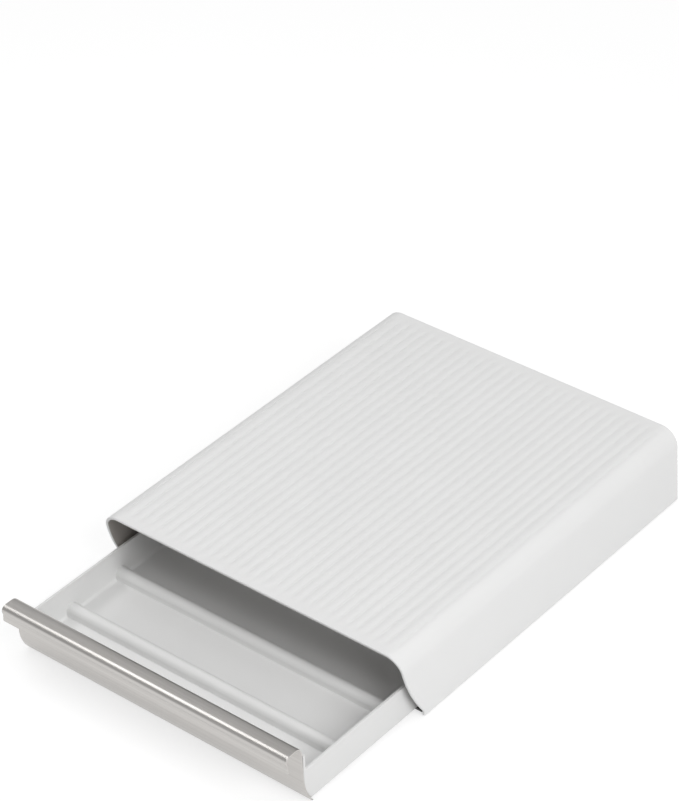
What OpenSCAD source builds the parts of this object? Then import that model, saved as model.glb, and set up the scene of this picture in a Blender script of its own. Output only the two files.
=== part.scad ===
// Coffee pod drawer: a low ribbed cover over a sliding tray with a hooked steel front.
// Units are millimetres. +Z is up and the drawer opens towards -Y.
// The origin is the bottom centre of the box around the unit, drawer partly open.

/* [Cover] */
// Width across the bottom rim
cover_width = 270.8; // [262:0.2:280]
// Depth of the deck from its front edge to the foot of the back wall
cover_depth = 326; // [318:1:340]
// Height of the deck above the bottom rim
cover_height = 61.3; // [59:0.1:70]
// Wall thickness
wall = 2.4; // [2:0.1:2.8]
// Inward lean of the side walls, sideways travel over height
wall_lean = 0.04; // [0.02:0.005:0.05]
// Radius of the two long upper corners
corner_radius = 13.8; // [10:0.2:16]
// Lean of the back wall over its whole height
back_lean = 1.2; // [0:0.1:1.6]
// How far the foot of the front edge stands behind the deck's front edge
foot_setback = 22.4; // [18:0.2:23]
// Height of the upright foot of the front edge
foot_upright = 3.8; // [3:0.2:6]
// Radius of the swept front edge
sweep_radius = 135; // [100:5:200]
// Width of the bevel along the deck's front edge
deck_bevel = 0.8; // [0.4:0.1:1]

/* [Deck grooves] */
// Grooves on each side of the middle one
groove_pairs = 15; // [8:1:15]
// Spacing from groove to groove
groove_pitch = 8.1; // [6.4:0.1:8.1]
// Width of a groove
groove_width = 1.2; // [0.8:0.1:2]
// Depth of a groove
groove_depth = 0.6; // [0.3:0.1:0.8]
// Plain margin in front of and behind the grooves
groove_margin = 12.4; // [8:0.2:20]

/* [Cover inside] */
// Number of snap catches along each side
catches = 5; // [3:1:6]
// Length of a snap catch
catch_length = 12; // [8:1:16]
// Height of the barb below a catch
barb_height = 0.8; // [0.6:0.1:0.9]

/* [Base] */
// Thickness of the base plate
base_thickness = 1.6; // [1.4:0.1:2]
// Clearance between the base plate and the cover's walls
base_fit = 0.4; // [0.3:0.05:0.6]
// Thickness of the guide channel's web
web_thickness = 1.4; // [1.2:0.1:1.6]
// Thickness of the guide channel's top lip
lip_thickness = 1.5; // [1.2:0.1:2]
// Reach of the guide channel's lip over the runner flange
lip_overlap = 1.6; // [1:0.1:2]
// Distance from the guide channel's front end to the base plate's front edge
channel_setback = 8; // [6:1:16]

/* [Feet] */
// Diameter of a rubber foot
foot_diameter = 14; // [10:1:18]
// Height of a rubber foot
foot_height = 1.2; // [1:0.1:2]
// Width of the rounded edge of a foot
foot_edge = 0.4; // [0.2:0.1:0.6]
// Distance of a foot's centre from the base plate's side and ends
foot_inset = 18; // [14:1:24]

/* [Drawer tray] */
// Width across the tray's side walls
tray_width = 254; // [246:0.2:254]
// Thickness of the tray's side and back walls
tray_wall = 2.1; // [1.8:0.1:2.6]
// Thickness of the tray's floor
tray_floor = 2; // [1.6:0.1:2.6]
// Height of the side walls above the underside of the floor
tray_side_height = 27.2; // [25.6:0.2:28.4]
// Thickness of the front wall
front_wall = 2; // [1.8:0.1:2.4]
// Top of the front wall above the underside of the floor
front_wall_height = 40; // [39.5:0.1:42]
// Running clearance under the tray's floor
glide_gap = 0.4; // [0.3:0.05:0.5]
// Gap left behind the tray when it is shut
rear_gap = 1.6; // [1.4:0.1:3]
// Width of the runner flange beside the floor
runner_width = 2.9; // [2.4:0.1:3]
// Length of the runner flange forward from the tray's rear end
runner_length = 184; // [160:2:200]
// Thickness of the runner flange
runner_thickness = 1.5; // [1.2:0.1:1.8]
// Running clearance round the runner flange
runner_gap = 0.4; // [0.35:0.05:0.5]

/* [Floor ridges] */
// Rows of pods from front to back
pod_rows = 6; // [4:1:6]
// Spacing of the rows
row_pitch = 51.1; // [50.6:0.1:51.2]
// Distance from the front wall's face to the middle of the first ridge
first_ridge = 47.8; // [45:0.1:48]
// Width of a ridge
ridge_width = 10; // [8:0.2:12]
// Height of a ridge above the floor
ridge_height = 9; // [7:0.2:12]
// Wall thickness of a ridge, which is hollow from below
ridge_wall = 2; // [1.6:0.1:2.4]

/* [Stops] */
// How far the drawer is open as drawn
drawn_open = 110.5; // [80:0.5:120]
// How far it opens in all before the stops meet
full_open = 250; // [200:5:260]
// Length of a stop along the slide
stop_length = 4; // [4:1:8]
// Height of a stop
stop_height = 4; // [3:0.2:6]
// Clearance between a stop and what passes it
stop_gap = 0.7; // [0.5:0.1:0.9]

/* [Steel front] */
// Length of the steel front along its top
steel_length = 252; // [246:0.2:254]
// Outward lean of the sheet's ends towards the foot, sideways travel over height
end_lean = 0.05; // [0.02:0.01:0.06]
// Thickness of the sheet
sheet = 1.2; // [1:0.1:1.5]
// Height of the sheet's top above the cover's bottom rim
steel_top = 50.7; // [50:0.1:52]
// Depth of the finger pull from its front to the sheet's face
pull_depth = 15; // [14:0.1:16]
// Drop of the pull's outer leg from the sheet's top
leg_drop = 13.2; // [10:0.1:16]
// Outer radius of the bend behind the pull
rear_bend = 6; // [4:0.2:9]
// Outer radius of the bend in front of the pull
front_bend = 4; // [2.4:0.1:5]
// Angle by which the front bend turns back under the pull, in degrees
curl = 22.5; // [7.5:7.5:30]
// Length of the sloping stretch below the front bend
curl_length = 2; // [1.6:0.1:5]
// Outer radius of the curve that carries the face back towards its foot
foot_bend = 37; // [34:0.5:44]
// Distance from the tray's side walls' top down to where that curve starts
foot_bend_drop = 6.8; // [5:0.1:8]
// Height of the sheet's bottom edge above the cover's bottom rim
steel_bottom = 0.4; // [0.4:0.1:1.2]
// Clearance between the sheet's foot and the base plate when shut
foot_clearance = 0.5; // [0.4:0.1:1]
// Thickness of the foam tape behind the sheet
tape = 0.4; // [0.3:0.1:0.6]
// Height of a tape strip
tape_height = 5; // [3:0.2:5.6]
// Distance from a tape strip to the curve beside it
tape_margin = 0.5; // [0.2:0.1:1]
// Distance from a tape's end to the sheet's end
tape_inset = 8; // [4:1:20]

/* [Hidden] */
$fn = 96;
eps = 0.01;
blend = 0.005;

white = [0.88, 0.88, 0.87];
charcoal = [0.14, 0.14, 0.14];
steel_grey = [0.72, 0.71, 0.69];
rubber_black = [0.08, 0.08, 0.08];
foam_grey = [0.55, 0.55, 0.55];

// Levels and positions shared by the pieces.
rim_z = foot_height;
deck_z = rim_z + cover_height;
total_depth = cover_depth + drawn_open;
back_y = total_depth / 2;
deck_front = back_y - cover_depth;
cover_foot_y = deck_front + foot_setback;
shut_face_y = deck_front + pull_depth;
lean_scale = sqrt(1 + pow(wall_lean, 2));
wall_across = wall * lean_scale;
rim_half = cover_width / 2;
inner_rim_half = rim_half - wall_across;
under_deck = deck_z - wall;

// Outer corner of the cover's section, tangent to the leaning wall.
corner_z = deck_z - corner_radius;
corner_x = rim_half - wall_lean * (corner_z - rim_z) - corner_radius * lean_scale;

// Swept front edge: an arc from the foot's top to the deck's front edge.
sweep_rise = cover_height - foot_upright - deck_bevel;
sweep_chord = sqrt(pow(foot_setback, 2) + pow(sweep_rise, 2));
sweep_centre = sqrt(pow(sweep_radius, 2) - pow(sweep_chord / 2, 2));
chord_y = foot_setback / sweep_chord;
chord_z = sweep_rise / sweep_chord;

// Tray, runner and channel levels.
tray_half = tray_width / 2;
tray_z = rim_z + base_thickness + glide_gap;
side_top = tray_z + tray_side_height;
front_wall_top = tray_z + front_wall_height;
floor_top = tray_z + tray_floor;
runner_top = tray_z + runner_thickness;
runner_half = tray_half + runner_width;
channel_half = runner_half + runner_gap;
web_half = channel_half + web_thickness;
lip_z = runner_top + runner_gap;
channel_top = lip_z + lip_thickness;
lip_inner = runner_half - lip_overlap;
back_wall_y = back_y - wall - back_lean;

// The steel's face is the drawer's own reference plane.
face_y = shut_face_y - drawn_open;
front_outer = face_y + sheet + tape;
front_inner = front_outer + front_wall;
tray_rear = back_wall_y - rear_gap - drawn_open;
pull_y = face_y - pull_depth;
steel_top_z = rim_z + steel_top;
bend_start_z = side_top - foot_bend_drop;
steel_bottom_z = rim_z + steel_bottom;
rear_bend_z = steel_top_z - rear_bend;
front_bend_z = steel_top_z - front_bend;
rear_bend_y = face_y + sheet - rear_bend;
front_bend_y = pull_y + front_bend;
foot_centre_y = face_y + foot_bend;
tray_foot_radius = foot_bend - sheet - tape;
runner_front = tray_rear - runner_length;
foot_half_chord = sqrt(pow(foot_bend - sheet, 2) - pow(bend_start_z - steel_bottom_z, 2));
base_front = shut_face_y + foot_bend - foot_half_chord + foot_clearance;
base_rear = back_wall_y - base_fit;
channel_front = base_front + channel_setback;

// Stops: lugs on the tray's rear end meet blocks on the cover.
lug_front = tray_rear - stop_length;
block_rear = lug_front - (full_open - drawn_open);
stop_z = channel_top + runner_gap;
block_half = tray_half + stop_gap;

// Snap catches: a lug on the base between a barb and a pad on the cover.
base_half = inner_rim_half - base_fit;
catch_first = channel_front + catch_length;
catch_span = base_rear - catch_length - catch_length - catch_first;
lug_z = rim_z + barb_height;
barb_reach = web_half + base_fit;
pad_height = lip_thickness + lip_thickness;

// A box centred across the unit, from y0 to y1 and z0 to z1.
module across(half, y0, y1, z0, z1) {
  translate([-half, y0, z0]) cube([2 * half, y1 - y0, z1 - z0]);
}

// The same box on the left and right side, from x0 to x1.
module both_sides(x0, x1, y0, y1, z0, z1) {
  for (side = [-1, 1])
    translate([side * (x0 + x1) / 2 - (x1 - x0) / 2, y0, z0]) cube([x1 - x0, y1 - y0, z1 - z0]);
}

// A side profile drawn as (y, z), extruded across the unit.
module side_extrude(half) {
  translate([-half, 0, 0]) rotate([90, 0, 90]) linear_extrude(2 * half) children();
}

// A cross-section drawn as (x, z), extruded from y0 to y1.
module depth_extrude(y0, y1) {
  translate([0, y1, 0]) rotate([90, 0, 0]) linear_extrude(y1 - y0) children();
}

// The cover's outer or inner cross-section: leaning walls and two round corners.
module section(radius, bottom_half, bottom, top) {
  union() {
    polygon([[-bottom_half, bottom], [bottom_half, bottom],
      [corner_x + radius / lean_scale, corner_z + radius * wall_lean / lean_scale],
      [corner_x, top], [-corner_x, top],
      [-corner_x - radius / lean_scale, corner_z + radius * wall_lean / lean_scale]]);
    for (side = [-1, 1]) translate([side * corner_x, corner_z]) circle(radius + blend);
  }
}

// What is cut away in front of the cover's swept edge, drawn as (y, z).
module front_cut() {
  union() {
    polygon([[deck_front + deck_bevel + wall, deck_z + wall], [deck_front - wall, deck_z + wall],
      [deck_front - wall, deck_z - deck_bevel - wall]]);
    difference() {
      polygon([[deck_front - foot_setback, rim_z - wall], [cover_foot_y, rim_z - wall],
        [cover_foot_y, deck_z + wall], [deck_front - foot_setback, deck_z + wall]]);
      translate([(deck_front + cover_foot_y) / 2 + sweep_centre * chord_z,
        rim_z + foot_upright + sweep_rise / 2 + sweep_centre * chord_y])
        circle(sweep_radius, $fn = 360);
    }
  }
}

// What is cut away behind the cover's leaning back.
module back_cut() {
  overrun = back_lean * wall / cover_height;
  polygon([[back_y + overrun, rim_z - wall], [back_y + foot_setback, rim_z - wall],
    [back_y + foot_setback, deck_z + wall], [back_y - back_lean - overrun, deck_z + wall]]);
}

// Cover: moulded shell with grooved deck, catches and stop blocks.
module cover() {
  groove_x = [for (i = [-groove_pairs : groove_pairs]) i * groove_pitch];
  color(white) difference() {
    union() {
      difference() {
        depth_extrude(deck_front - eps, back_y + eps) section(corner_radius, rim_half, rim_z, deck_z);
        side_extrude(cover_width) front_cut();
        side_extrude(cover_width) back_cut();
        depth_extrude(pull_y, back_wall_y) translate([0, -eps])
          section(corner_radius - wall, inner_rim_half, rim_z, under_deck + eps);
      }
      intersection() {
        depth_extrude(pull_y, back_y) section(corner_radius, rim_half - wall / 2, rim_z, deck_z);
        union() {
          catch_boxes(channel_half, rim_half, channel_top, channel_top + pad_height);
          catch_boxes(barb_reach, rim_half, rim_z, lug_z);
          both_sides(block_half, rim_half, block_rear - stop_length, block_rear,
            stop_z, stop_z + stop_height);
        }
      }
    }
    for (x = groove_x)
      translate([x - groove_width / 2, deck_front + groove_margin, deck_z - groove_depth])
        cube([groove_width, cover_depth - 2 * groove_margin, groove_depth + eps]);
  }
}

// One box per snap catch on each side.
module catch_boxes(x0, x1, z0, z1) {
  for (i = [0 : catches - 1]) {
    y = catch_first + i * catch_span / (catches - 1);
    both_sides(x0, x1, y, y + catch_length, z0, z1);
  }
}

// Base plate: moulded plate with two guide channels and the snap lugs.
module base_plate() {
  color(charcoal) union() {
    across(web_half, base_front, base_rear, rim_z, rim_z + base_thickness);
    both_sides(channel_half, web_half, channel_front, base_rear, rim_z, channel_top);
    both_sides(lip_inner, web_half, channel_front, base_rear, lip_z, channel_top);
    catch_boxes(web_half - eps, base_half, lug_z, lug_z + base_thickness);
  }
}

// Rubber foot with a softened lower edge.
module foot(side, y) {
  r = foot_diameter / 2;
  color(rubber_black) translate([side * (base_half - foot_inset), y, 0])
    rotate_extrude() polygon([[0, 0], [r - foot_edge, 0], [r, foot_edge], [r, foot_height], [0, foot_height]]);
}

module foot_front_left() {
  foot(-1, base_front + foot_inset);
}

module foot_front_right() {
  foot(1, base_front + foot_inset);
}

module foot_rear_left() {
  foot(-1, back_wall_y - foot_inset);
}

module foot_rear_right() {
  foot(1, back_wall_y - foot_inset);
}

// A quarter disc or ring in the quadrant that (dy, dz) points to, carried on by an angle.
module quarter(y, z, outer, inner, dy, dz, past = 0) {
  reach = 2 * outer;
  translate([y, z]) difference() {
    intersection() {
      circle(outer);
      polygon([[0, 0], [dy * reach, -dz * reach * tan(past)], [dy * reach, dz * reach], [0, dz * reach]]);
    }
    if (inner > 0) circle(inner);
  }
}

// The tray's side outline or its cavity: a curved foot in front, square behind.
module tray_shape(radius, bottom, rear, top) {
  front = foot_centre_y - radius;
  union() {
    intersection() {
      quarter(foot_centre_y, bend_start_z, radius, 0, -1, -1);
      polygon([[front - radius, bottom], [foot_centre_y, bottom],
        [foot_centre_y, bend_start_z], [front - radius, bend_start_z]]);
    }
    polygon([[foot_centre_y, bottom], [rear, bottom], [rear, top],
      [front, top], [front, bend_start_z], [foot_centre_y, bend_start_z]]);
  }
}

// One ridge across the floor, with a round top.
module ridge_profile(width, height) {
  union() {
    translate([-width / 2, -tray_floor - eps]) square([width, tray_floor + eps + height - width / 2]);
    translate([0, height - width / 2]) circle(width / 2);
  }
}

// Drawer tray: floor, walls, front wall, ridges, runner flanges and stop lugs.
module drawer_tray() {
  inner_half = tray_half - tray_wall;
  ridge_y = [for (i = [0 : pod_rows - 2]) front_inner + first_ridge - front_wall + i * row_pitch];
  color(white) difference() {
    union() {
      difference() {
        side_extrude(tray_half) union() {
          tray_shape(tray_foot_radius, tray_z, tray_rear, side_top);
          translate([front_outer, side_top]) square([front_wall, front_wall_top - side_top]);
        }
        side_extrude(inner_half)
          tray_shape(tray_foot_radius - front_wall, floor_top, tray_rear - tray_wall, side_top + wall);
      }
      for (y = ridge_y)
        side_extrude(inner_half + eps) translate([y, floor_top]) ridge_profile(ridge_width, ridge_height);
      both_sides(tray_half - eps, runner_half, runner_front, tray_rear, tray_z, runner_top);
      both_sides(tray_half - eps, runner_half, lug_front, tray_rear, stop_z, stop_z + stop_height);
    }
    for (y = ridge_y)
      side_extrude(inner_half - ridge_wall) translate([y, floor_top - eps])
        ridge_profile(ridge_width - 2 * ridge_wall, ridge_height - ridge_wall);
  }
}

// The steel sheet's side profile: curved foot, face, hooked pull.
module steel_profile() {
  leg_bottom = steel_top_z - leg_drop;
  curl_y = front_bend_y - front_bend * cos(curl);
  curl_z = front_bend_z - front_bend * sin(curl);
  leg_y = curl_y + curl_length * sin(curl);
  leg_z = curl_z - curl_length * cos(curl);
  union() {
    intersection() {
      quarter(foot_centre_y, bend_start_z, foot_bend, foot_bend - sheet, -1, -1);
      translate([face_y - sheet, steel_bottom_z]) square([foot_bend + sheet, foot_bend]);
    }
    translate([face_y, bend_start_z]) square([sheet, rear_bend_z - bend_start_z]);
    quarter(rear_bend_y, rear_bend_z, rear_bend, rear_bend - sheet, 1, 1);
    translate([front_bend_y, steel_top_z - sheet]) square([rear_bend_y - front_bend_y, sheet]);
    quarter(front_bend_y, front_bend_z, front_bend, front_bend - sheet, -1, 1, curl);
    polygon([[curl_y, curl_z], [leg_y, leg_z], [leg_y, leg_bottom], [leg_y + sheet, leg_bottom],
      [leg_y + sheet, leg_z - sheet * tan(curl / 2)],
      [curl_y + sheet * cos(curl), curl_z + sheet * sin(curl)]]);
  }
}

// Steel front: one folded sheet with leaning ends.
module steel_front() {
  top_half = steel_length / 2 - end_lean * wall;
  foot_half = steel_length / 2 + end_lean * (steel_top_z + wall);
  color(steel_grey) intersection() {
    side_extrude(cover_width / 2) steel_profile();
    depth_extrude(pull_y - wall, foot_centre_y)
      polygon([[-foot_half, -wall], [foot_half, -wall],
        [top_half, steel_top_z + wall], [-top_half, steel_top_z + wall]]);
  }
}

// A foam tape strip between the sheet and the tray's front wall.
module tape_strip(z) {
  color(foam_grey) across(steel_length / 2 - tape_inset, face_y + sheet, front_outer, z, z + tape_height);
}

module tape_upper() {
  tape_strip(min(rear_bend_z, front_wall_top) - tape_margin - tape_height);
}

module tape_lower() {
  tape_strip(bend_start_z + tape_margin);
}

cover();
base_plate();
foot_front_left();
foot_front_right();
foot_rear_left();
foot_rear_right();
drawer_tray();
steel_front();
tape_upper();
tape_lower();
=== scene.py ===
import math

import bmesh
import bpy
from mathutils import Matrix, Vector


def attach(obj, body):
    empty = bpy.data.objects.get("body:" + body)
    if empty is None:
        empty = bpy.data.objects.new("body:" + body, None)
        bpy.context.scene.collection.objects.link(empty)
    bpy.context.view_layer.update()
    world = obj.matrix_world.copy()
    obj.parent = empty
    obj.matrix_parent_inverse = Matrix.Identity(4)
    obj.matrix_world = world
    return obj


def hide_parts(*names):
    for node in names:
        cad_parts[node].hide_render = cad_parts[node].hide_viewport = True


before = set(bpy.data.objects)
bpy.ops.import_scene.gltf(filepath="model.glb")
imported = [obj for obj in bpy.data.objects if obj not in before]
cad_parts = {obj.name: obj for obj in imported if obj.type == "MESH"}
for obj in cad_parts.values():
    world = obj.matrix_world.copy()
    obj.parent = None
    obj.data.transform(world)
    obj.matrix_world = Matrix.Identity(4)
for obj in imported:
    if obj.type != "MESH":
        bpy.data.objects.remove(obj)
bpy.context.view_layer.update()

# ---------------------------------------------------------------------------
# Camera. Above and to the right of the opened drawer, with a slight roll.
# It is made first, so that everything after it is judged through it.
CAMERA_PLACE = (1.10322, -1.32395, 1.38447)
camera = bpy.data.objects.new("camera", bpy.data.cameras.new("camera"))
bpy.context.scene.collection.objects.link(camera)
bpy.context.scene.camera = camera
camera.data.sensor_width = 36
camera.data.lens = 139.01
camera.data.clip_start = 0.1
camera.data.clip_end = 50
azimuth, elevation, roll = (math.radians(a) for a in (39.894, 35.497, -1.486))
back = Vector((math.sin(azimuth) * math.cos(elevation),
               -math.cos(azimuth) * math.cos(elevation), math.sin(elevation)))
level_right = (-back).cross(Vector((0, 0, 1))).normalized()
level_up = level_right.cross(-back)
right = level_right * math.cos(roll) + level_up * math.sin(roll)
up = level_up * math.cos(roll) - level_right * math.sin(roll)
turn = Matrix((right, up, back)).transposed().to_4x4()
camera.matrix_world = Matrix.Translation(CAMERA_PLACE) @ turn
bpy.context.scene.view_settings.view_transform = "Standard"

# ---------------------------------------------------------------------------
# Light. A white room, a broad lamp to the right and front, a soft lamp above, and a
# strip on the left that draws the highlight along the steel's nose. They are sized
# so that the white plastic stays just below full white.
world = bpy.data.worlds.new("studio")
bpy.context.scene.world = world
world.use_nodes = True
room = world.node_tree.nodes["Background"]
room.inputs["Color"].default_value = (1, 1, 1, 1)
room.inputs["Strength"].default_value = 0.5


def lamp(name, place, target, wide, high, power):
    """A rectangular lamp at place that faces the target."""
    data = bpy.data.lights.new(name, "AREA")
    data.shape = "RECTANGLE"
    data.size = wide
    data.size_y = high
    data.energy = power
    obj = bpy.data.objects.new(name, data)
    bpy.context.scene.collection.objects.link(obj)
    way = Vector(target) - Vector(place)
    obj.matrix_world = Matrix.Translation(place) @ way.to_track_quat("-Z", "Y").to_matrix().to_4x4()


lamp("key", (1.7, -0.5, 1.35), (0, 0, 0.03), 1.2, 1.2, 23.5)
lamp("strip", (-0.62, -0.24, 1.07), (0, -0.215, 0.05), 0.95, 0.3, 2.6)
lamp("top", (0, 0.3, 1.9), (0, 0, 0.03), 1.4, 1.4, 3.0)


# ---------------------------------------------------------------------------
# Floor. A pale sweep that keeps the shadow under the drawer. It is whiter to the
# camera and in the steel than in the light it gives back to the plastic.
class Value:
    """A shader socket on which + and * add Math nodes."""

    def __init__(self, tree, socket):
        self.tree = tree
        self.socket = socket

    def put(self, kind, settings=(), inputs=(), output=0):
        """Any other node, from its type, its settings and its sockets' values or links."""
        made = self.tree.nodes.new(kind)
        for name, value in dict(settings).items():
            setattr(made, name, value)
        for name, value in dict(inputs).items():
            if isinstance(value, Value):
                self.tree.links.new(value.socket, made.inputs[name])
            else:
                made.inputs[name].default_value = value
        return Value(self.tree, made.outputs[output])

    def math(self, operation, first, second):
        return self.put("ShaderNodeMath", {"operation": operation}, {0: first, 1: second})

    def __add__(self, other):
        return self.math("ADD", self, other)

    __radd__ = __add__

    def __mul__(self, other):
        return self.math("MULTIPLY", self, other)

    __rmul__ = __mul__

    def mix(self, first, second):
        """Colour first where this value is 0 and second where it is 1."""
        made = self.tree.nodes.new("ShaderNodeMix")
        made.data_type = "RGBA"
        self.tree.links.new(self.socket, made.inputs["Factor"])
        for socket, colour in ((made.inputs[6], first), (made.inputs[7], second)):
            if isinstance(colour, Value):
                self.tree.links.new(colour.socket, socket)
            else:
                socket.default_value = (*colour, 1)
        return Value(self.tree, made.outputs[2])

    def between(self, low, high, out_low=0.0, out_high=1.0):
        """This value's range low to high spread over out_low to out_high."""
        return self.put("ShaderNodeMapRange", {"clamp": True},
                        {"Value": self, "From Min": low, "From Max": high,
                         "To Min": out_low, "To Max": out_high})


def material(name, roughness=0.5, metallic=0.0, specular=0.5):
    """A new material, its shader, and the place on the object as a value."""
    made = bpy.data.materials.new(name)
    made.use_nodes = True
    shader = made.node_tree.nodes["Principled BSDF"]
    shader.inputs["Roughness"].default_value = roughness
    shader.inputs["Metallic"].default_value = metallic
    shader.inputs["Specular IOR Level"].default_value = specular
    place = made.node_tree.nodes.new("ShaderNodeTexCoord")
    return made, shader, Value(made.node_tree, place.outputs["Object"])


def feed(shader, name, value):
    value.tree.links.new(value.socket, shader.inputs[name])


def noise(place, scale, detail=2.0, stretch=(1, 1, 1)):
    spot = place.put("ShaderNodeMapping", {}, {"Vector": place, "Scale": stretch})
    return place.put("ShaderNodeTexNoise", {}, {"Vector": spot, "Scale": scale, "Detail": detail})


def bump(shader, height, strength, distance):
    feed(shader, "Normal", height.put("ShaderNodeBump", {},
         {"Height": height, "Strength": strength, "Distance": distance}))


FLOOR_REACH = 6
floor_paint, shader, place = material("floor_paint", roughness=0.9, specular=0.0)
seen = sum(place.put("ShaderNodeLightPath", output="Is %s Ray" % kind)
           for kind in ("Camera", "Glossy", "Transmission"))
wash = noise(place, 1.5).between(0, 1, 0.42, 0.44)
feed(shader, "Base Color", seen.mix((0.72, 0.72, 0.72), wash.mix((0, 0, 0), (1, 1, 1))))
feed(shader, "Emission Color", seen.mix((0, 0, 0), (0.66, 0.66, 0.66)))
shader.inputs["Emission Strength"].default_value = 1.0

mesh = bpy.data.meshes.new("floor")
corners = [(x * FLOOR_REACH, y * FLOOR_REACH, 0) for x, y in ((-1, -1), (1, -1), (1, 1), (-1, 1))]
mesh.from_pydata(corners, [], [(0, 1, 2, 3)])
mesh.materials.append(floor_paint)
floor = bpy.data.objects.new("floor", mesh)
bpy.context.scene.collection.objects.link(floor)

# ---------------------------------------------------------------------------
# Cover. One white ABS moulding in a fine satin finish: grooved deck, round upper
# corners, leaning sides with a swept front edge, and snap catches along the inside.
# Its inner faces take a darker copy of the white as painted shade.
MM = 0.001
RIM = 1.2
DECK = 62.5
HALF = 135.4
WALL = 2.4
LEAN = 0.04
CORNER = 13.8
FRONT = -107.75
BACK = 218.25
BACK_LEAN = 1.2
FOOT_SETBACK = 22.4
FOOT_UPRIGHT = 3.8
SWEEP = 135
SWEEP_GAP = 0.8
back_in = BACK - BACK_LEAN - WALL
foot_front = FRONT + FOOT_SETBACK
foot_top = RIM + FOOT_UPRIGHT
slope = math.sqrt(1 + LEAN ** 2)
corner_z = DECK - CORNER
corner_x = HALF - LEAN * (corner_z - RIM) - CORNER * slope

rise = DECK - SWEEP_GAP - foot_top
chord = math.hypot(rise, FOOT_SETBACK)
far = math.sqrt(SWEEP ** 2 - (chord / 2) ** 2)
sweep_y = (FRONT + foot_front) / 2 + far * rise / chord
sweep_z = foot_top + rise / 2 + far * FOOT_SETBACK / chord


def front_edge(z):
    """Where the cover's swept front edge stands at height z."""
    if z <= foot_top:
        return foot_front
    return max(FRONT, sweep_y - math.sqrt(SWEEP ** 2 - (z - sweep_z) ** 2))


def back_edge(z):
    return BACK - BACK_LEAN * (z - RIM) / (DECK - RIM)


class Piece:
    """A mesh being built in millimetres, with a bevel width for each edge."""

    def __init__(self):
        self.bm = bmesh.new()
        self.weight = self.bm.edges.layers.float.new("bevel_weight_edge")

    def point(self, x, y, z):
        return self.bm.verts.new((x * MM, y * MM, z * MM))

    def face(self, *points, slot=0):
        made = self.bm.faces.new(points)
        made.material_index = slot
        made.smooth = True

    def soften(self, points, weight, closed=False):
        """Gives the edges along a row of points a bevel of weight millimetres."""
        pairs = list(zip(points, points[1:])) + ([(points[-1], points[0])] if closed else [])
        for a, b in pairs:
            edge = self.bm.edges.get((a, b))
            if edge:
                edge[self.weight] = weight

    def extrude(self, outline, along, low, high, weight=0.0, slot=0):
        """A closed outline carried from low to high along axis x, y or z."""
        place = {"x": lambda t, a, b: (t, a, b), "y": lambda t, a, b: (a, t, b),
                 "z": lambda t, a, b: (a, b, t)}[along]
        rings = [[self.point(*place(t, a, b)) for a, b in outline] for t in (low, high)]
        for i in range(len(outline)):
            j = (i + 1) % len(outline)
            self.face(rings[0][i], rings[0][j], rings[1][j], rings[1][i], slot=slot)
        self.face(*reversed(rings[0]), slot=slot)
        self.face(*rings[1], slot=slot)
        for ring in rings:
            self.soften(ring, weight, closed=True)
        return rings

    def box(self, x, y, z, weight=0.0, slot=0):
        outline = [(x[0], y[0]), (x[1], y[0]), (x[1], y[1]), (x[0], y[1])]
        for low, high in zip(*self.extrude(outline, "z", z[0], z[1], weight, slot)):
            self.soften([low, high], weight)

    def both(self, x, y, z, weight=0.0, slot=0):
        """The same box on the left and the right side."""
        self.box((-x[1], -x[0]), y, z, weight, slot)
        self.box(x, y, z, weight, slot)

    def finish(self, name, skins, body, node, segments=3, sharp=40):
        """Makes the object, bevels it and sets it in the frame in place of its node."""
        self.bm.normal_update()
        bmesh.ops.recalc_face_normals(self.bm, faces=self.bm.faces[:])
        for edge in self.bm.edges:
            if len(edge.link_faces) == 2 and edge.calc_face_angle(0) > math.radians(sharp):
                edge.smooth = edge[self.weight] > 0
        made = bpy.data.meshes.new(name)
        self.bm.to_mesh(made)
        self.bm.free()
        for skin in skins:
            made.materials.append(skin)
        obj = bpy.data.objects.new(name, made)
        bpy.context.scene.collection.objects.link(obj)
        bevel = obj.modifiers.new("bevel", "BEVEL")
        bevel.limit_method = "WEIGHT"
        bevel.width = MM
        bevel.segments = segments
        bevel.use_clamp_overlap = False
        bevel.harden_normals = True
        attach(obj, body)
        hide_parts(node)


def arc(cx, cz, radius, start, end, steps):
    """Points round a centre from one angle to another, in degrees."""
    return [(cx + radius * math.cos(math.radians(start + (end - start) * i / steps)),
             cz + radius * math.sin(math.radians(start + (end - start) * i / steps)))
            for i in range(steps + 1)]


def moulded_white(name, colour, roughness):
    """White ABS from a spark-eroded mould: a fine even grain and a faint clouding."""
    made, shader, place = material(name, specular=0.36)
    cloud = noise(place, 22, 3).between(0.3, 0.7)
    grain = noise(place, 1900, 2)
    shade = [c * 0.985 for c in colour]
    feed(shader, "Base Color", cloud.mix(shade, colour))
    feed(shader, "Roughness", cloud * 0.05 + (grain * 0.06 + (roughness - 0.055)))
    bump(shader, grain + noise(place, 420, 1) * 0.6, 0.18, 0.00006)
    return made


cover_white = moulded_white("white_abs", (0.80, 0.80, 0.797), 0.46)
# The inside is the same white ABS, coloured a dark brownish grey as painted shade under the deck.
cover_inside_painted_shade = moulded_white("white_abs_inside_painted_shade", (0.36, 0.34, 0.32), 0.55)

# The deck: 31 grooves, and between them bands that fall a little towards each groove.
GROOVE_PITCH = 8.1
GROOVE_HALF = 0.6
GROOVE_DEPTH = 0.35
BAND_FALL = 0.4
DECK_MARGIN = 12.4
FADE = 3
band_half = GROOVE_PITCH / 2
grooves = [n * GROOVE_PITCH for n in range(-15, 16)]
marks = [g + side * gap for g in grooves for side in (-1, 1) for gap in (GROOVE_HALF, 1.4, 2.4, 3.4)]
marks = sorted((x for x in marks if 0 < x < grooves[-1] + 2), reverse=True)
wall_heights = [RIM] + [foot_top + (corner_z - foot_top) * i / 14 for i in range(14)]


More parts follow.
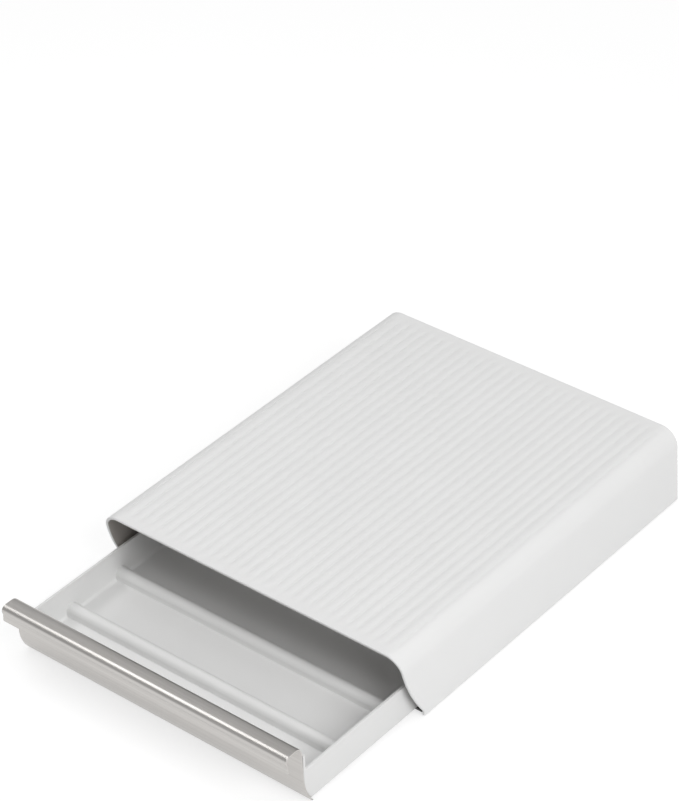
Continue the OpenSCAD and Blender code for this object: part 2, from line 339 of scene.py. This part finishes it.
def half_profile(radius, offset, top):
    """The right half of the cover's section, from the rim to the deck's middle."""
    rows = [(HALF - offset * slope - LEAN * (z - RIM), z) for z in wall_heights]
    tangent = math.degrees(math.atan(LEAN))
    angles = [tangent + (72 - tangent) * i / 8 for i in range(9)]
    angles += [math.degrees(math.acos((x - corner_x) / CORNER)) for x in marks if x > corner_x]
    angles.append(90)
    rows += [(corner_x + radius * math.cos(math.radians(a)),
              corner_z + radius * math.sin(math.radians(a))) for a in angles]
    return rows + [(x, top) for x in marks if x < corner_x]


def whole_profile(radius, offset, top):
    rows = half_profile(radius, offset, top)
    return [(-x, z) for x, z in rows] + list(reversed(rows))


def stations(z, back):
    """The places along the depth at which the cover's section is set."""
    edge = front_edge(z)
    start, stop = FRONT + DECK_MARGIN, BACK - DECK_MARGIN
    return edge, max(start - FADE, edge + 2), max(start, edge + 4), stop, stop + FADE, back


def band_drop(x, z):
    """How far the deck has fallen at x, on its way from a band's middle to a groove."""
    gap = min(abs(x - g) for g in grooves)
    if z < corner_z or gap > band_half:
        return 0
    return BAND_FALL * ((band_half - gap) / (band_half - GROOVE_HALF)) ** 2


cover = Piece()
outer = whole_profile(CORNER, 0, DECK)
inner = whole_profile(CORNER - WALL, WALL, DECK - WALL)
outside = [[cover.point(x, y, z - (band_drop(x, z) if row in (2, 3) else 0))
            for row, y in enumerate(stations(z, back_edge(z)))] for x, z in outer]
lining = [[cover.point(x, y, z) for y in stations(z, back_in)] for x, z in inner]


def is_groove(i):
    middle = (outer[i][0] + outer[i + 1][0]) / 2
    return any(abs(middle - g) < 0.01 for g in grooves)


for i in range(len(outer) - 1):
    for row in range(5):
        ring = (outside[i][row], outside[i + 1][row], outside[i + 1][row + 1], outside[i][row + 1])
        if row == 2 and is_groove(i):
            low = [cover.point(v.co.x / MM, v.co.y / MM, v.co.z / MM - GROOVE_DEPTH) for v in ring]
            cover.face(*low)
            for k in range(4):
                cover.face(ring[k], ring[(k + 1) % 4], low[(k + 1) % 4], low[k])
            cover.soften(ring, 0.15, closed=True)
        else:
            cover.face(*ring)
        cover.face(lining[i][row], lining[i][row + 1], lining[i + 1][row + 1], lining[i + 1][row], slot=1)
    cover.face(outside[i][0], lining[i][0], lining[i + 1][0], outside[i + 1][0])
for side in (0, -1):
    for row in range(5):
        cover.face(outside[side][row], outside[side][row + 1], lining[side][row + 1], lining[side][row])
cover.face(outside[0][-1], outside[-1][-1], lining[-1][-1], lining[0][-1])
cover.face(*[column[-1] for column in outside])
cover.face(*[column[-1] for column in lining], slot=1)
cover.soften([column[0] for column in outside], 1.0)
cover.soften([column[0] for column in lining], 0.9)
cover.soften([column[-1] for column in outside], 0.6)
for side in (0, -1):
    cover.soften(outside[side], 0.3)
    cover.soften([outside[side][0], lining[side][0]], 0.5)
cover.soften([outside[0][-1], outside[-1][-1]], 0.3)

# Inside: snap catches under the base plate's lugs, pads that bear on its channels,
# and the two blocks that stop the drawer.
CATCHES = 5
CATCH_LENGTH = 12
BASE_FIT = 0.4
CHANNEL_FRONT = -75.49
CHANNEL_HALF = 130.3
CHANNEL_TOP = 6.6
PLATE_TOP = 2.8
LUG_Z = 2.0
STOP_Z = 7.0
STOP_HEIGHT = 4.0
BLOCK_REAR = -40.95
inner_face = 133.6
base_rear = back_in - BASE_FIT
first_catch = CHANNEL_FRONT + CATCH_LENGTH
last_catch = base_rear - 2 * CATCH_LENGTH
catches = [first_catch + i * (last_catch - first_catch) / (CATCHES - 1) for i in range(CATCHES)]
for y in catches:
    cover.both((CHANNEL_HALF, inner_face), (y, y + CATCH_LENGTH), (CHANNEL_TOP, CHANNEL_TOP + 3), 0.2, slot=1)
    cover.both((132.1, inner_face + 0.2), (y, y + CATCH_LENGTH), (RIM, LUG_Z), slot=1)
cover.both((127.7, inner_face), (BLOCK_REAR - 4, BLOCK_REAR), (STOP_Z, STOP_Z + STOP_HEIGHT), 0.3, slot=1)
cover.finish("cover_moulding", [cover_white, cover_inside_painted_shade], "housing", "cover")

# ---------------------------------------------------------------------------
# Base plate. An ABS moulding with a matt finish that closes the cover from below.
# Its dark grey is painted shade for the shaded gap under the cover's front foot.
# Its two channels guide the tray's runners, and its lugs snap over the catches.
WEB_HALF = 131.7
LIP_INNER = 128.3
LIP_Z = 5.1
base_front = CHANNEL_FRONT - 8
base_painted_shade, shader, place = material("base_abs", specular=0.35)
grain = noise(place, 1300, 2)
cloud = noise(place, 30, 2).between(0.3, 0.7)
# Dark grey: painted shade that stands in for the shadow in the gap at the front foot.
feed(shader, "Base Color", cloud.mix((0.125, 0.124, 0.122), (0.15, 0.149, 0.147)))
feed(shader, "Roughness", grain * 0.1 + 0.5)
bump(shader, grain, 0.3, 0.00008)

base = Piece()
base.box((-WEB_HALF, WEB_HALF), (base_front, base_rear), (RIM, PLATE_TOP), 0.25)
channel = [(CHANNEL_HALF, PLATE_TOP - 0.1), (WEB_HALF, PLATE_TOP - 0.1), (WEB_HALF, CHANNEL_TOP),
           (LIP_INNER, CHANNEL_TOP), (LIP_INNER, LIP_Z), (CHANNEL_HALF, LIP_Z)]
for side in (-1, 1):
    base.extrude([(side * x, z) for x, z in channel], "y", CHANNEL_FRONT, base_rear, 0.2)
for y in catches:
    base.both((WEB_HALF - 0.1, 132.6), (y, y + CATCH_LENGTH), (LUG_Z, LUG_Z + 1.6), 0.15)
base.finish("base_moulding", [base_painted_shade], "housing", "base_plate", segments=2)

# ---------------------------------------------------------------------------
# Feet. Four black moulded rubber pads, stuck under the base plate. Each is turned
# from a small profile with a softened lower edge.
FOOT_X = 114.6
FOOT_INSET = 18
FOOT_PROFILE = [(6.3, 0.0), (6.6, 0.05), (6.85, 0.2), (7.0, 0.45), (7.0, RIM)]
ROUND = 48
rubber, shader, place = material("foot_rubber", specular=0.3)
grain = noise(place, 2400, 3)
feed(shader, "Base Color", grain.between(0.35, 0.65).mix((0.018, 0.018, 0.018), (0.035, 0.035, 0.035)))
feed(shader, "Roughness", grain * 0.15 + 0.7)
bump(shader, grain, 0.4, 0.0001)

for end, y in (("front", base_front + FOOT_INSET), ("rear", back_in - FOOT_INSET)):
    for hand, x in (("left", -FOOT_X), ("right", FOOT_X)):
        node = "foot_%s_%s" % (end, hand)
        pad = Piece()
        rings = [[pad.point(x + r * math.cos(math.tau * k / ROUND), y + r * math.sin(math.tau * k / ROUND), z)
                  for k in range(ROUND)] for r, z in FOOT_PROFILE]
        for lower, upper in zip(rings, rings[1:]):
            for k in range(ROUND):
                pad.face(lower[k], lower[(k + 1) % ROUND], upper[(k + 1) % ROUND], upper[k])
        pad.face(*reversed(rings[0]))
        pad.face(*rings[-1])
        pad.finish(node + "_pad", [rubber], "housing", node)

# ---------------------------------------------------------------------------
# Drawer tray. A second white ABS moulding: floor with hollow cross ridges, side and
# back walls, a taller front wall with a curved foot, runner flanges and stop lugs.
TRAY_HALF = 127.0
TRAY_WALL = 2.1
TRAY_LOW = 3.2
TRAY_FLOOR = 5.2
SIDE_TOP = 30.4
WALL_TOP = 43.2
TRAY_REAR = 102.55
FACE = -203.25
SHEET = 1.2
TAPE = 0.4
FRONT_WALL = 2.0
FOOT_BEND = 37
BEND_Z = 23.6
FIRST_RIDGE = 45.8
ROW_PITCH = 51.1
RIDGE = 5
RIDGE_WALL = 2
FILLET = 2.3
RUNNER_WIDTH = 2.9
RUNNER_LENGTH = 184
wall_out = FACE + SHEET + TAPE
wall_in = wall_out + FRONT_WALL
foot_y = FACE + FOOT_BEND
foot_radius = FOOT_BEND - SHEET - TAPE
rear_in = TRAY_REAR - TRAY_WALL
inner_half = TRAY_HALF - TRAY_WALL
ridge_z = TRAY_FLOOR + 4
ridges = [wall_in + FIRST_RIDGE + ROW_PITCH * i for i in range(5)]


def foot_arc(radius, bottom, steps=14):
    """The curved foot, from its lowest point up to the start of the straight wall."""
    first = math.degrees(math.asin((BEND_Z - bottom) / radius))
    return arc(foot_y, BEND_Z, radius, 180 + first, 180, steps)


def ridge_top(middle):
    """A floor ridge from front to rear, with a small fillet at each foot."""
    foot = [(RIDGE + 1.2, 0), (RIDGE + 0.3, 0.35), (RIDGE, 1.2)]
    front = [(middle - y, TRAY_FLOOR + z) for y, z in foot]
    rear = [(middle + y, TRAY_FLOOR + z) for y, z in reversed(foot)]
    return front + arc(middle, ridge_z, RIDGE, 180, 0, 14) + rear


def ridge_hollow(middle):
    """The same ridge from below, from rear to front."""
    reach = RIDGE - RIDGE_WALL
    vault = arc(middle, ridge_z, reach, 0, 180, 8)
    return [(middle + reach, TRAY_LOW)] + vault + [(middle - reach, TRAY_LOW)]


tray_white = moulded_white("tray_abs", (0.765, 0.765, 0.76), 0.46)
tray = Piece()
outline = foot_arc(foot_radius, TRAY_LOW) + [(wall_out, WALL_TOP), (wall_in, WALL_TOP)]
outline += [(wall_in, SIDE_TOP + 1.5), (wall_in + 0.44, SIDE_TOP + 0.44), (wall_in + 1.5, SIDE_TOP)]
outline += [(TRAY_REAR, SIDE_TOP), (TRAY_REAR, TRAY_LOW)]
for side in (-1, 1):
    inner_ring, outer_ring = tray.extrude(outline, "x", side * inner_half, side * TRAY_HALF)
    tray.soften(inner_ring, 0.3)
    tray.soften(outer_ring, 0.6)

shell = foot_arc(foot_radius, TRAY_LOW) + [(wall_out, WALL_TOP), (wall_in, WALL_TOP)]
shell += reversed(foot_arc(foot_radius - FRONT_WALL, TRAY_FLOOR))
for middle in ridges:
    shell += ridge_top(middle)
shell += [(rear_in - FILLET, TRAY_FLOOR), (rear_in - 0.7, TRAY_FLOOR + 0.7), (rear_in, TRAY_FLOOR + FILLET)]
shell += [(rear_in, SIDE_TOP), (TRAY_REAR, SIDE_TOP), (TRAY_REAR, TRAY_LOW)]
for middle in reversed(ridges):
    shell += ridge_hollow(middle)
for a, b in zip(*tray.extrude(shell, "x", -inner_half, inner_half)):
    y, z = a.co.y / MM, a.co.z / MM
    if abs(z - WALL_TOP) < 0.01 or (abs(z - SIDE_TOP) < 0.01 and y > rear_in - 0.01):
        tray.soften([a, b], 0.5)

fillet = [(inner_half + 0.05, TRAY_FLOOR - 0.05), (inner_half + 0.05, TRAY_FLOOR + FILLET)]
fillet += arc(inner_half - FILLET, TRAY_FLOOR + FILLET, FILLET, 0, -90, 8)[1:]
fillet.append((inner_half - FILLET, TRAY_FLOOR - 0.05))
for side in (-1, 1):
    tray.extrude([(side * x, z) for x, z in fillet], "y", -191.9, rear_in + 0.05)
runner = (TRAY_HALF - 0.01, TRAY_HALF + RUNNER_WIDTH)
tray.both(runner, (TRAY_REAR - RUNNER_LENGTH, TRAY_REAR), (TRAY_LOW, TRAY_LOW + 1.5), 0.25)
tray.both(runner, (TRAY_REAR - 3.95, TRAY_REAR), (STOP_Z, STOP_Z + STOP_HEIGHT), 0.3)
tray.finish("tray_moulding", [tray_white], "drawer", "drawer_tray", sharp=32)

# ---------------------------------------------------------------------------
# Steel front. One stainless sheet, brushed along its length, folded forward at the
# top into a hooked pull and curved back at the foot. Tape holds it to the tray.
STEEL_HALF = 126
STEEL_TOP = 51.9
STEEL_BOTTOM = 1.6
END_LEAN = 0.05
PULL_DEPTH = 15
REAR_BEND = 6
NOSE_BEND = 4
CURL = 22.5
JOGGLE = 2
LEG_BOTTOM = 38.7
rear_y, rear_z = FACE + SHEET - REAR_BEND, STEEL_TOP - REAR_BEND
nose_y, nose_z = FACE - PULL_DEPTH + NOSE_BEND, STEEL_TOP - NOSE_BEND
leg_y, joggle_z = FACE - PULL_DEPTH + 1.07, STEEL_TOP - 7.78

brushed_steel, shader, place = material("brushed_steel", metallic=1.0)
fine = noise(place, 1, 3, (9, 2600, 2600))
broad = noise(place, 1, 2, (3.5, 520, 520))
streak = fine * 0.6 + broad * 0.4
feed(shader, "Base Color", streak.between(0.3, 0.7).mix((0.49, 0.474, 0.456), (0.62, 0.602, 0.582)))
feed(shader, "Roughness", streak * 0.22 + 0.22)
bump(shader, streak, 0.25, 0.00005)


def hook(inset):
    """One side of the pull, from the face over the top and down to the leg's foot."""
    points = arc(rear_y, rear_z, REAR_BEND - inset, 0, 90, 16)
    points += arc(nose_y, nose_z, NOSE_BEND - inset, 90, 180 + CURL, 18)
    points += arc(leg_y - JOGGLE, joggle_z, JOGGLE + inset, CURL, 0, 4)
    return points + [(leg_y + inset, LEG_BOTTOM)]


front = Piece()
face_line = foot_arc(FOOT_BEND, STEEL_BOTTOM, 24) + hook(SHEET)
back_line = foot_arc(FOOT_BEND - SHEET, STEEL_BOTTOM, 24) + hook(0)
outline = face_line + list(reversed(back_line))
rings = front.extrude(outline, "x", -1, 1, 0.3)
for ring, side in zip(rings, (-1, 1)):
    for point in ring:
        point.co.x = side * (STEEL_HALF + END_LEAN * (STEEL_TOP - point.co.z / MM)) * MM
last = len(face_line) - 1
for index in (0, last, last + 1, len(outline) - 1):
    front.soften([rings[0][index], rings[1][index]], 0.18)
front.finish("steel_sheet", [brushed_steel], "drawer", "steel_front", segments=2)

# ---------------------------------------------------------------------------
# Tape. Two grey foam strips, pressed flat between the sheet and the tray's front
# wall, one above the other.
TAPE_HALF = 118
TAPE_HEIGHT = 5
TAPE_MARGIN = 0.5
foam, shader, place = material("foam_tape", specular=0.2)
cells = place.put("ShaderNodeTexVoronoi", {}, {"Vector": place, "Scale": 1800.0})
feed(shader, "Base Color", cells.between(0.1, 0.7).mix((0.2, 0.2, 0.2), (0.32, 0.32, 0.32)))
feed(shader, "Roughness", cells * 0.1 + 0.85)
bump(shader, cells, 0.5, 0.0001)

for node, low in (("tape_upper", WALL_TOP - TAPE_MARGIN - TAPE_HEIGHT), ("tape_lower", BEND_Z + TAPE_MARGIN)):
    strip = Piece()
    strip.box((-TAPE_HALF, TAPE_HALF), (FACE + SHEET, wall_out), (low, low + TAPE_HEIGHT), 0.05)
    strip.finish(node + "_strip", [foam], "drawer", node, segments=1)
